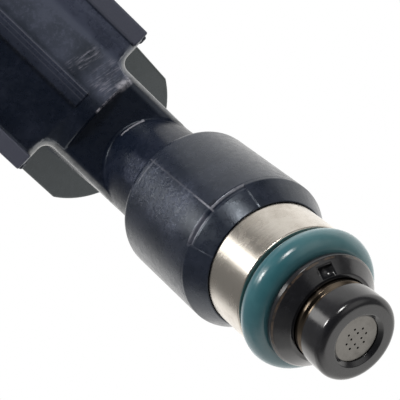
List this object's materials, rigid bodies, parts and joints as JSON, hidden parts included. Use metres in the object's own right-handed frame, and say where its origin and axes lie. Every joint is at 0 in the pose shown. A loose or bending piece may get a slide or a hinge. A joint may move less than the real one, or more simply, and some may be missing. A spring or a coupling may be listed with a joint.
{
  "type": "fuel injector",
  "caption": "Top-feed port fuel injector: dark moulded body with a tilted plug connector, steel can, teal seal rings and a solenoid-lifted ball valve inside.",
  "frame": {"origin": "centre of the lower sealing ring on the valve axis", "axes": "+Z along the valve axis from the spray tip towards the fuel inlet; the plug connector leans out towards -Y; X completes the right-handed frame"},
  "size_m": [0.0208, 0.0412, 0.0688],
  "materials": {
    "nozzle_cap": "glossy black moulded nozzle cap",
    "orifice_plate": "warm grey etched steel disc, dull",
    "lower_retainer": "glossy black moulded seal retainer",
    "lower_o_ring": "dark teal fluoro-rubber, satin",
    "valve_body": "bare stainless steel, warm brown reflections",
    "valve_seat": "ground hardened steel",
    "valve_ball": "polished bearing steel",
    "needle_tube": "drawn stainless tube",
    "armature": "turned magnetic stainless steel",
    "return_spring": "drawn spring steel wire",
    "steel_can": "deep drawn plated steel, blotchy satin",
    "coil_bobbin": "natural nylon",
    "coil_winding": "enamelled copper wire",
    "yoke_ring": "stamped magnetic steel",
    "nonmagnetic_sleeve": "non-magnetic stainless steel",
    "inlet_tube": "drawn magnetic stainless steel",
    "spring_adjuster": "rolled spring steel",
    "upper_o_ring": "dark teal fluoro-rubber, satin",
    "upper_backup_ring": "black moulded plastic",
    "upper_retainer": "black moulded plastic",
    "filter_frame": "natural brown nylon",
    "filter_gauze": "fine woven nylon gauze",
    "overmould_housing": "very dark navy glass-filled nylon, satin with flow marks",
    "terminal_right": "tin-plated brass strip",
    "terminal_left": "tin-plated brass strip"
  },
  "bodies": {
    "injector_body": {"nozzle_cap": "nozzle_cap", "orifice_plate": "orifice_plate", "lower_retainer": "lower_retainer", "lower_o_ring": "lower_o_ring", "valve_body": "valve_body", "valve_seat": "valve_seat", "return_spring": "return_spring", "steel_can": "steel_can", "coil_bobbin": "coil_bobbin", "coil_winding": "coil_winding", "yoke_ring": "yoke_ring", "nonmagnetic_sleeve": "nonmagnetic_sleeve", "inlet_tube": "inlet_tube", "spring_adjuster": "spring_adjuster", "upper_o_ring": "upper_o_ring", "upper_backup_ring": "upper_backup_ring", "upper_retainer": "upper_retainer", "filter_frame": "filter_frame", "filter_gauze": "filter_gauze", "overmould_housing": "overmould_housing", "terminal_right": "terminal_right", "terminal_left": "terminal_left"},
    "needle_stack": {"valve_ball": "valve_ball", "needle_tube": "needle_tube", "armature": "armature"}
  },
  "joints": [
    {"name": "needle_lift", "type": "slide", "parent": "injector_body", "child": "needle_stack", "axis": [0, 0, 1], "range_m": [0, 0.0001], "stiffness_N_per_m": 1500, "springref_m": -0.002, "deforming": ["return_spring"]}
  ]
}
